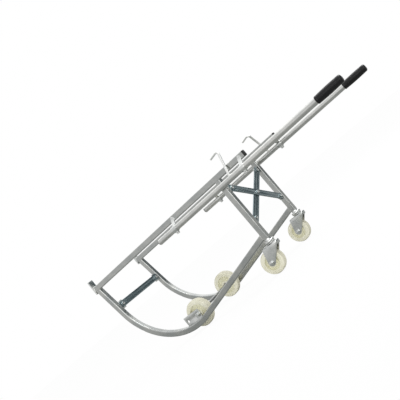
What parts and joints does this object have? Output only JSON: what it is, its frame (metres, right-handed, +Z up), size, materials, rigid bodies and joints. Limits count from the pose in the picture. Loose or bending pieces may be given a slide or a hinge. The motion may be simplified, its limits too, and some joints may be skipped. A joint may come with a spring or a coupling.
{
  "type": "drum trolley",
  "caption": "Low drum trolley of bent square steel tube with curved rockers, plain front wheels, rear swivel castors and long sliding handles with rubber grips.",
  "frame": {"origin": "on the floor, below the middle of the overall length and width", "axes": "+X along the rails from the toe plates to the grips, +Y to the right of somebody holding the grips seen from behind, +Z up"},
  "size_m": [1.471, 0.496, 0.5208],
  "materials": {
    "zinc_tube": "satin zinc plate on square steel tube",
    "zinc_plate": "satin zinc plate on steel plate",
    "zinc_flat": "darker zinc plate on flat bar",
    "handle_zinc": "smooth zinc plate on round tube",
    "bright_rod": "bright plated rod",
    "bright_zinc": "bright zinc plate",
    "bush_steel": "turned steel",
    "ivory_nylon": "moulded nylon, satin",
    "black_rubber": "matt moulded rubber",
    "black_plastic": "matt"
  },
  "bodies": {
    "frame": {"rail_left": "zinc_tube", "rail_right": "zinc_tube", "rail_cap_left": "black_plastic", "rail_cap_right": "black_plastic", "rear_leg_left": "zinc_tube", "rear_leg_right": "zinc_tube", "rocker_left": "zinc_tube", "rocker_right": "zinc_tube", "toe_plate_left": "bright_zinc", "toe_plate_right": "bright_zinc", "wheel_bracket_left": "zinc_plate", "wheel_bracket_right": "zinc_plate", "castor_head_left": "bright_zinc", "castor_head_right": "bright_zinc", "castor_kingpin_left": "bright_zinc", "castor_kingpin_right": "bright_zinc", "lower_guide_left": "bright_zinc", "lower_guide_right": "bright_zinc", "upper_guide_left": "bright_zinc", "upper_guide_right": "bright_zinc", "front_cross_bar": "zinc_flat", "cross_bar_tabs": "zinc_plate", "cross_bar_bolts": "bright_zinc", "cross_bar_nuts": "bright_zinc", "brace_bar_rear": "zinc_flat", "brace_bar_front": "zinc_flat", "brace_tabs": "zinc_plate", "brace_bolts": "bright_zinc", "brace_nuts": "bright_zinc", "guide_nuts": "bright_zinc", "guide_clamp_bolts": "bright_zinc", "front_axle": "bright_zinc", "axle_spacer": "bush_steel", "axle_nuts": "bright_zinc", "axle_washers": "bright_zinc"},
    "handle_left": {"handle_tube_left": "handle_zinc", "tube_plug_left": "black_plastic", "grip_left": "black_rubber", "hook_left": "bright_rod"},
    "castor_left": {"castor_fork_left": "zinc_plate", "castor_race_left": "bright_zinc", "castor_axle_bolt_left": "bright_zinc", "castor_axle_nut_left": "bright_zinc", "castor_bush_left": "bush_steel"},
    "castor_roller_left": {"castor_wheel_left": "ivory_nylon"},
    "front_roller_left": {"front_wheel_left": "ivory_nylon", "front_bush_left": "bush_steel"},
    "handle_right": {"handle_tube_right": "handle_zinc", "tube_plug_right": "black_plastic", "grip_right": "black_rubber", "hook_right": "bright_rod"},
    "castor_right": {"castor_fork_right": "zinc_plate", "castor_race_right": "bright_zinc", "castor_axle_bolt_right": "bright_zinc", "castor_axle_nut_right": "bright_zinc", "castor_bush_right": "bush_steel"},
    "castor_roller_right": {"castor_wheel_right": "ivory_nylon"},
    "front_roller_right": {"front_wheel_right": "ivory_nylon", "front_bush_right": "bush_steel"}
  },
  "joints": [
    {"name": "handle_slide_left", "type": "slide", "parent": "frame", "child": "handle_left", "axis": [1, 0, 0], "range_m": [-0.3, 0.035]},
    {"name": "handle_slide_right", "type": "slide", "parent": "frame", "child": "handle_right", "axis": [1, 0, 0], "range_m": [-0.3, 0.035]},
    {"name": "castor_swivel_left", "type": "hinge", "parent": "frame", "child": "castor_left", "pos_m": [0.1155, -0.189, 0.113], "axis": [0, 0, 1], "continuous": true},
    {"name": "castor_swivel_right", "type": "hinge", "parent": "frame", "child": "castor_right", "pos_m": [0.1155, 0.189, 0.113], "axis": [0, 0, 1], "continuous": true},
    {"name": "castor_roll_left", "type": "hinge", "parent": "castor_left", "child": "castor_roller_left", "pos_m": [0.0715, -0.189, 0.05], "axis": [0, 1, 0], "continuous": true},
    {"name": "castor_roll_right", "type": "hinge", "parent": "castor_right", "child": "castor_roller_right", "pos_m": [0.0715, 0.189, 0.05], "axis": [0, 1, 0], "continuous": true},
    {"name": "front_wheel_roll_left", "type": "hinge", "parent": "frame", "child": "front_roller_left", "pos_m": [-0.38053, -0.1535, 0.0625], "axis": [0, 1, 0], "continuous": true},
    {"name": "front_wheel_roll_right", "type": "hinge", "parent": "frame", "child": "front_roller_right", "pos_m": [-0.38053, 0.1535, 0.0625], "axis": [0, 1, 0], "continuous": true}
  ]
}
